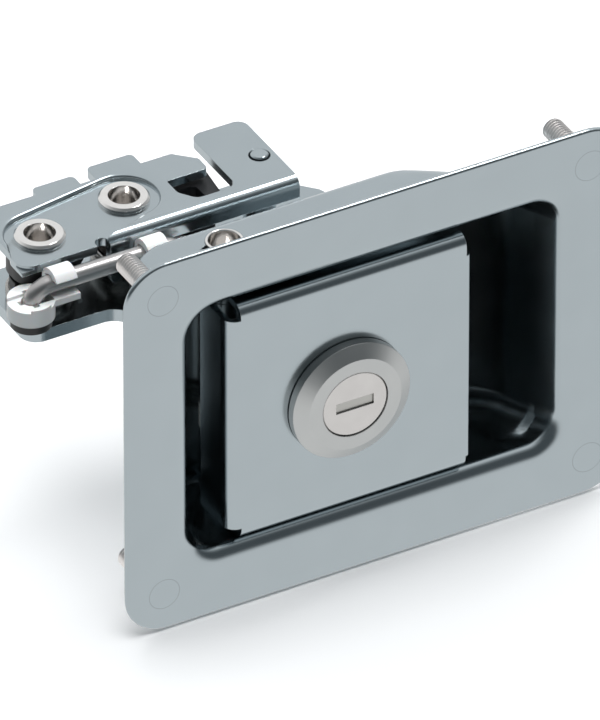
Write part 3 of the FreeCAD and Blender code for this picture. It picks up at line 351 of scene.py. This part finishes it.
paddle_mesh = merged_copy("paddle")
for vert in paddle_mesh.verts:
    if near_fold(vert, SOLID_FOLD):
        vert.co.y = fold_y
        vert.co.z = math.copysign(fold_z, vert.co.z)
bmesh.ops.remove_doubles(paddle_mesh, verts=paddle_mesh.verts, dist=SAME_POINT)
bmesh.ops.dissolve_degenerate(paddle_mesh, dist=CUT_LIMIT, edges=paddle_mesh.edges)
folds = [edge for edge in paddle_mesh.edges if all(near_fold(vert, 0) for vert in edge.verts)]
bevelled(paddle_mesh, folds, FOLD_RADIUS, FOLD_STEPS)
for vert in paddle_mesh.verts:
    if vert.co.z < LOWERED_BELOW:
        vert.co.z -= LOWERED_BY
folded_paddle = mesh_object("folded_paddle", paddle_mesh, zinc, "paddle", PADDLE_SMOOTH)
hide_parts("paddle")

# Top plate. The upper plate of the rotary latch is stamped from sheet. The step pressed into it round the two
# rivets has a soft upper edge, which catches the light.

STEP_HEIGHT = 0.001
STEP_EDGE = 0.0008
STEP_ROUNDS = 5
UPRIGHT = 0.1
PLATE_SMOOTH = 30

plate_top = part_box("top_plate")[1].z


def is_step_edge(edge):
    """An edge on the plate's top from which the step's wall goes down, and not the plate's own side."""
    if min(vert.co.z for vert in edge.verts) < plate_top - SAME_POINT:
        return False
    foot = plate_top - STEP_HEIGHT - NEAR
    return any(face.normal.z < UPRIGHT and min(vert.co.z for vert in face.verts) > foot
               for face in edge.link_faces)


plate_mesh = merged_copy("top_plate")
bevelled(plate_mesh, [edge for edge in plate_mesh.edges if is_step_edge(edge)], STEP_EDGE, STEP_ROUNDS)
stepped_plate = mesh_object("stepped_plate", plate_mesh, zinc, "housing", PLATE_SMOOTH)
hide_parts("top_plate")

# Turned and drawn parts. The hollow rivets, their sleeves and the pivot tube are nickel plated steel,
# brighter and warmer than the sheets. The fine rings that a lathe or a rivet tool leaves are drawn coarse
# enough to show. The tube has a lip and a blind bore at both ends.

NICKEL = "#EEECEA"
NICKEL_SHADE = "#E2DFDC"
NICKEL_ROUGHNESS = 0.17
NICKEL_CLOUD = 0.003
TOOL_RING = 0.0002
RING_STRENGTH = 0.1
TURNED_EDGE = 0.0002
ALONG_Z = 2
BORE = 0.00345
BORE_DEPTH = 0.006
LIP = 0.0002
TUBE_STEPS = 64
TUBE_SMOOTH = 35


def turned(name, centre, axis, colour, shade):
    """Bright metal with rings about a line through centre."""
    material, tree, shader = finish(name, {"Metallic": 1.0, "Roughness": NICKEL_ROUGHNESS})
    place = add(tree, "ShaderNodeTexCoord", {}).outputs["Object"]
    radius = off_axis(tree, place, centre, axis)
    rings = add(tree, "ShaderNodeTexNoise", {"Scale": 1 / TOOL_RING}, [("Vector", radius)])
    cloud = add(tree, "ShaderNodeTexNoise", {"Scale": 1 / NICKEL_CLOUD}, [("Vector", place)])
    two_tones(tree, shader, cloud.outputs["Fac"], shade, colour)
    relief(tree, shader, rings.outputs["Fac"], RING_STRENGTH, RELIEF_DEPTH, TURNED_EDGE)
    return material


tube_low, tube_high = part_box("pivot_tube")
tube_centre = (tube_low + tube_high) / 2
tube_radius = (tube_high.x - tube_low.x) / 2
tube_half = (tube_high.z - tube_low.z) / 2
upper_line = [(0, tube_half - BORE_DEPTH - BORE / 2), (BORE, tube_half - BORE_DEPTH),
              (BORE, tube_half - LIP), (BORE + LIP, tube_half),
              (tube_radius - LIP, tube_half), (tube_radius, tube_half - LIP)]
lower_line = [(radius, -height) for radius, height in reversed(upper_line)]
tube_mesh = bmesh.new()
points = [tube_mesh.verts.new((tube_centre.x + radius, tube_centre.y, tube_centre.z + height))
          for radius, height in upper_line + lower_line]
strip = [tube_mesh.edges.new(pair) for pair in zip(points, points[1:])]
bmesh.ops.spin(tube_mesh, geom=points + strip, cent=tube_centre, axis=(0, 0, 1), dvec=(0, 0, 0),
               angle=2 * math.pi, steps=TUBE_STEPS, use_merge=True)
bmesh.ops.remove_doubles(tube_mesh, verts=tube_mesh.verts, dist=SAME_POINT)
bmesh.ops.recalc_face_normals(tube_mesh, faces=tube_mesh.faces)
tube_finish = turned("nickel plated tube", tube_centre, ALONG_Z, NICKEL, NICKEL_SHADE)
pivot_rivet = mesh_object("pivot_rivet", tube_mesh, tube_finish, "housing", TUBE_SMOOTH)
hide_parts("pivot_tube")
rivet_low, rivet_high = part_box("hollow_rivets")
rivet_finish = turned("nickel plated rivets", (rivet_low + rivet_high) / 2, ALONG_Z, NICKEL, NICKEL_SHADE)
wear(rivet_finish, "hollow_rivets", "trigger_sleeve", "rotor_sleeve")

# Weld studs. Four zinc plated M5 studs are drawn-arc welded to the back of the flange: a bright, rather matt
# metal. Their rolled thread runs from the sheet to a chamfered tip.

STUD_ZINC = "#F6F2F0"
STUD_SHADE = "#E6E1DE"
STUD_ROUGHNESS = 0.38
STUD_EDGE = 0.00005
STUD_SMOOTH = 30
THREAD_CREST = 0.00248
THREAD_ROOT = 0.00203
THREAD_PITCH = 0.0008
CREST_START = 0.42
CREST_END = 0.58
THREAD_STEPS = 28
TIP_CHAMFER = 0.0006


def rolled_thread(length):
    """One stud that stands on the origin along Y: a helical thread, cut flat at the sheet and at the tip."""
    bm = bmesh.new()
    turns = math.ceil(length / THREAD_PITCH) + 1
    profile = [(THREAD_ROOT, 0), (THREAD_CREST, CREST_START), (THREAD_CREST, CREST_END), (THREAD_ROOT, 1)]
    points = [bm.verts.new((radius, (share - 1) * THREAD_PITCH, 0)) for radius, share in profile]
    edges = [bm.edges.new(pair) for pair in zip(points, points[1:])]
    bmesh.ops.spin(bm, geom=points + edges, cent=(0, 0, 0), axis=(0, 1, 0),
                   dvec=(0, THREAD_PITCH / THREAD_STEPS, 0), angle=2 * math.pi * turns,
                   steps=THREAD_STEPS * turns, use_merge=False)
    bmesh.ops.remove_doubles(bm, verts=bm.verts, dist=SAME_POINT)
    for level, normal in ((0, (0, -1, 0)), (length, (0, 1, 0))):
        cut = bmesh.ops.bisect_plane(bm, geom=whole(bm), dist=CUT_LIMIT, plane_co=(0, level, 0),
                                     plane_no=normal, clear_outer=True)
        rim = [part for part in cut["geom_cut"] if isinstance(part, bmesh.types.BMEdge)]
        bmesh.ops.holes_fill(bm, edges=rim, sides=0)
    for vert in bm.verts:
        past = vert.co.y - (length - TIP_CHAMFER)
        radius = math.hypot(vert.co.x, vert.co.z)
        if past > 0 and radius > THREAD_CREST - past:
            share = (THREAD_CREST - past) / radius
            vert.co.x *= share
            vert.co.z *= share
    return bm


thread_mesh = rolled_thread(stud_high.y - stud_low.y)
first_stud = whole(thread_mesh)
for stud_x in (stud_low.x + STUD_RADIUS, stud_high.x - STUD_RADIUS):
    for stud_z in (stud_low.z + STUD_RADIUS, stud_high.z - STUD_RADIUS):
        copied = bmesh.ops.duplicate(thread_mesh, geom=first_stud)["geom"]
        copied_points = [part for part in copied if isinstance(part, bmesh.types.BMVert)]
        bmesh.ops.translate(thread_mesh, verts=copied_points, vec=(stud_x, stud_low.y, stud_z))
first_points = [part for part in first_stud if isinstance(part, bmesh.types.BMVert)]
bmesh.ops.delete(thread_mesh, geom=first_points, context="VERTS")
bmesh.ops.recalc_face_normals(thread_mesh, faces=thread_mesh.faces)
stud_finish = plated("zinc plated stud", STUD_ZINC, STUD_SHADE, STUD_ROUGHNESS, STUD_EDGE)
studs = mesh_object("threaded_studs", thread_mesh, stud_finish, "housing", STUD_SMOOTH)
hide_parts("weld_studs")

# Cylinder lock. The housing is a zinc die casting with a satin nickel finish; its bezel has a broad chamfer.
# The plug face is brushed stainless with a sprung brass shutter behind the key slot. The cam and its screw on
# the plug's far end are zinc plated steel, duller than the sheets.

SATIN = "#C8C9C8"
SATIN_SHADE = "#B9BBBB"
SATIN_ROUGHNESS = 0.37
CAST_EDGE = 0.0002
HOUSING_SMOOTH = 12
PLUG = "#D2CFCD"
PLUG_SHADE = "#C8C5C3"
SHUTTER = "#BDBCB8"
SHUTTER_SHADE = "#B2B1AD"
SHUTTER_ROUGHNESS = 0.35
CAM = "#8E979B"
CAM_SHADE = "#7A8387"
CAM_ROUGHNESS = 0.3

satin = plated("satin nickel die casting", SATIN, SATIN_SHADE, SATIN_ROUGHNESS, CAST_EDGE)
wear(satin, "lock_washer", "lock_nut")
cast_housing = mesh_object("cast_housing", merged_copy("lock_housing"), satin, "paddle",
                           HOUSING_SMOOTH)
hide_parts("lock_housing")
plug_low, plug_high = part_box("lock_plug")
wear(turned("brushed stainless plug", (plug_low + plug_high) / 2, ALONG_Y, PLUG, PLUG_SHADE), "lock_plug")
wear(plated("plain brass shutter, nickel plated", SHUTTER, SHUTTER_SHADE, SHUTTER_ROUGHNESS), "key_shutter")
wear(plated("zinc plated cam", CAM, CAM_SHADE, CAM_ROUGHNESS), "lock_cam", "cam_screw")

# Trigger, pawl and rotor. They are stamped from thick steel and black coated; the coat is even, dark and
# slightly rough.

COAT = "#17181A"
COAT_PEEL = 0.0004
PEEL_STRENGTH = 0.25
PEEL_DEPTH = 0.00003
COAT_SMOOTH = 0.36
COAT_ROUGH = 0.5
COAT_EDGE = 0.0003


def black_coat(name):
    material, tree, shader = finish(name, {"Base Color": linear(COAT)})
    place = add(tree, "ShaderNodeTexCoord", {}).outputs["Object"]
    peel = add(tree, "ShaderNodeTexNoise", {"Scale": 1 / COAT_PEEL}, [("Vector", place)])
    relief(tree, shader, peel.outputs["Fac"], PEEL_STRENGTH, PEEL_DEPTH, COAT_EDGE)
    uneven_gloss(tree, shader, peel.outputs["Fac"], COAT_SMOOTH, COAT_ROUGH)
    return material


wear(black_coat("black coated steel"), "trigger_lever", "pawl", "rotor")

# Pull rod and springs. The rod is drawn stainless wire with lengthwise draw marks; the torsion springs are
# music wire, a little darker.

ROD = "#B8B6B5"
ROD_ROUGHNESS = 0.34
ROD_STRETCH = (0.05, 1, 1)
SPRING = "#A8A6A3"
SPRING_ROUGHNESS = 0.25
NO_STRETCH = (1, 1, 1)
DRAW_MARK = 0.0002
MARK_STRENGTH = 0.08
MARK_SMOOTHER = 0.05
MARK_ROUGHER = 0.08


def drawn_wire(name, colour, roughness, stretch):
    """Fine marks along the wire: noise that is stretched along one coordinate."""
    material, tree, shader = finish(name, {"Metallic": 1.0, "Base Color": linear(colour)})
    place = add(tree, "ShaderNodeTexCoord", {}).outputs["Object"]
    along = add(tree, "ShaderNodeMapping", {"Scale": stretch}, [("Vector", place)])
    marks = add(tree, "ShaderNodeTexNoise", {"Scale": 1 / DRAW_MARK}, [("Vector", along.outputs["Vector"])])
    uneven_gloss(tree, shader, marks.outputs["Fac"], roughness - MARK_SMOOTHER, roughness + MARK_ROUGHER)
    relief(tree, shader, marks.outputs["Fac"], MARK_STRENGTH, RELIEF_DEPTH)
    return material


wear(drawn_wire("drawn stainless rod", ROD, ROD_ROUGHNESS, ROD_STRETCH), "pull_rod")
wear(drawn_wire("spring wire", SPRING, SPRING_ROUGHNESS, NO_STRETCH), "pawl_spring", "rotor_spring",
     "paddle_spring")

# Rod clips. They are injection moulded from natural white acetal: a clean white with a soft sheen, into which
# light sinks a little.

ACETAL = "#E4E5E5"
ACETAL_ROUGHNESS = 0.38
ACETAL_GLOW = 0.15
GLOW_REACH = 0.001
MOULD_GRAIN = 0.0005
MOULD_STRENGTH = 0.1
MOULD_EDGE = 0.0003


def white_acetal(name):
    material, tree, shader = finish(name, {"Base Color": linear(ACETAL), "Roughness": ACETAL_ROUGHNESS,
                                           "Subsurface Weight": ACETAL_GLOW, "Subsurface Scale": GLOW_REACH})
    place = add(tree, "ShaderNodeTexCoord", {}).outputs["Object"]
    fine = add(tree, "ShaderNodeTexNoise", {"Scale": 1 / MOULD_GRAIN}, [("Vector", place)])
    relief(tree, shader, fine.outputs["Fac"], MOULD_STRENGTH, RELIEF_DEPTH, MOULD_EDGE)
    return material


wear(white_acetal("white acetal"), "clip_left", "clip_right")

# Studio. A pale floor just under the flange takes the shadow, and is neither mirrored in the latch nor lights
# it. The room is bright on one side and dark on the other, and its ground is pale where the metal mirrors it
# and duller where it lights the latch. Two of the three softboxes aren't mirrored.

FLOOR_HALF = 3.0
FLOOR_DROP = 0.0005
FLOOR_PAINT = "#F4F5F6"
FLOOR_ROUGHNESS = 0.9
BRIGHT_SIDE = (0.2, 0.61, 0.77)
DARK_WALL = "#5A6063"
MIDDLE_WALL = "#A4A8AA"
BRIGHT_WALL = "#F2F4F5"
# The walls' tones, by how far they lie towards the bright side, from 0 to 1.
ROOM_TONES = ((0.6, DARK_WALL), (0.72, MIDDLE_WALL), (0.8, BRIGHT_WALL))
PALE_GROUND = "#F9FAFA"
DULL_GROUND = "#A9B2B5"
HORIZON = 0.12
BACKDROP = "#FFFFFF"
AIM = (0, 0.02, 0)
# Each softbox's name, place, size and power in watts, and whether metal mirrors it.
SOFTBOXES = (("key softbox", (-0.15, -0.2, 1.1), (0.6, 0.6), 8, False),
             ("back softbox", (0.3, 0.9, 0.7), (0.9, 0.4), 4, False),
             ("top softbox", (0.4, 0.12, 0.9), (0.22, 0.22), 2.5, True))

low_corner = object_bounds()[0]
floor_mesh = bmesh.new()
bmesh.ops.create_grid(floor_mesh, x_segments=1, y_segments=1, size=FLOOR_HALF)
bmesh.ops.translate(floor_mesh, verts=floor_mesh.verts, vec=(0, 0, low_corner.z - FLOOR_DROP))
floor_data = bpy.data.meshes.new("floor")
floor_mesh.to_mesh(floor_data)
floor_mesh.free()
floor = bpy.data.objects.new("floor", floor_data)
bpy.context.scene.collection.objects.link(floor)
floor_data.materials.append(finish("pale floor", {"Roughness": FLOOR_ROUGHNESS,
                                                  "Base Color": linear(FLOOR_PAINT)})[0])
floor.visible_glossy = False
floor.visible_diffuse = False

room = bpy.data.worlds.new("room")
room.use_nodes = True
bpy.context.scene.world = room
tree = room.node_tree
background = tree.nodes["Background"]
way = add(tree, "ShaderNodeTexCoord", {}).outputs["Generated"]
height = add(tree, "ShaderNodeSeparateXYZ", {}, [("Vector", way)]).outputs["Z"]
toward = add(tree, "ShaderNodeVectorMath", {"operation": "DOT_PRODUCT", 1: BRIGHT_SIDE}, [(0, way)])
share = add(tree, "ShaderNodeMapRange", {"From Min": -1.0, "From Max": 1.0},
            [("Value", toward.outputs["Value"])])
walls = add(tree, "ShaderNodeValToRGB", {}, [("Fac", share.outputs[0])])
tones = walls.color_ramp.elements
tones[0].color = linear(DARK_WALL)
tones[1].color = linear(BRIGHT_WALL)
for position, code in ROOM_TONES:
    tones.new(position).color = linear(code)
light = add(tree, "ShaderNodeLightPath", {})
ground = add(tree, "ShaderNodeMix",
             {"data_type": "RGBA", MIX_FIRST: linear(PALE_GROUND), MIX_SECOND: linear(DULL_GROUND)},
             [("Factor", light.outputs["Is Diffuse Ray"])])
above = add(tree, "ShaderNodeMapRange", {"From Min": -HORIZON, "From Max": HORIZON}, [("Value", height)])
around = add(tree, "ShaderNodeMix", {"data_type": "RGBA"},
             [("Factor", above.outputs[0]), (MIX_FIRST, ground.outputs[MIXED]),
              (MIX_SECOND, walls.outputs["Color"])])
tree.links.new(around.outputs[MIXED], background.inputs["Color"])
backdrop = add(tree, "ShaderNodeBackground", {"Color": linear(BACKDROP)})
chosen = add(tree, "ShaderNodeMixShader", {},
             [("Fac", light.outputs["Is Camera Ray"]), (1, background.outputs[0]), (2, backdrop.outputs[0])])
tree.links.new(chosen.outputs[0], tree.nodes["World Output"].inputs["Surface"])

for name, place, size, power, mirrored in SOFTBOXES:
    lamp = bpy.data.lights.new(name, "AREA")
    lamp.shape = "RECTANGLE"
    lamp.size, lamp.size_y = size
    lamp.energy = power
    box = bpy.data.objects.new(name, lamp)
    box.location = place
    box.rotation_euler = (Vector(AIM) - Vector(place)).to_track_quat("-Z", "Y").to_euler()
    box.visible_glossy = mirrored
    bpy.context.scene.collection.objects.link(box)

# Camera. A very long lens from the photograph's side, 29 degrees to the left and 35 degrees above. The
# picture's middle lies a little left of the flange's centre and above it.

LENS = 1000
SENSOR = 36
SEES_TO = 20
VIEW_HEIGHT = 0.1509
FLANGE_RIGHT = 0.0162
FLANGE_BELOW = 0.00419
TO_CAMERA = (-0.396, -0.715, 0.577)
RIGHT = (0.8746, -0.4848, 0)
UP = (0.2797, 0.5046, 0.8171)

to_camera = Vector(TO_CAMERA).normalized()
looked_at = Vector((0, dish_front, 0)) - Vector(RIGHT) * FLANGE_RIGHT + Vector(UP) * FLANGE_BELOW
lens = bpy.data.cameras.new("camera")
lens.lens = LENS
lens.sensor_width = SENSOR
lens.clip_end = SEES_TO
camera = bpy.data.objects.new("camera", lens)
camera.location = looked_at + to_camera * (VIEW_HEIGHT * LENS / SENSOR)
camera.rotation_euler = (-to_camera).to_track_quat("-Z", "Y").to_euler()
bpy.context.scene.collection.objects.link(camera)
bpy.context.scene.camera = camera
bpy.context.scene.view_settings.view_transform = "Standard"
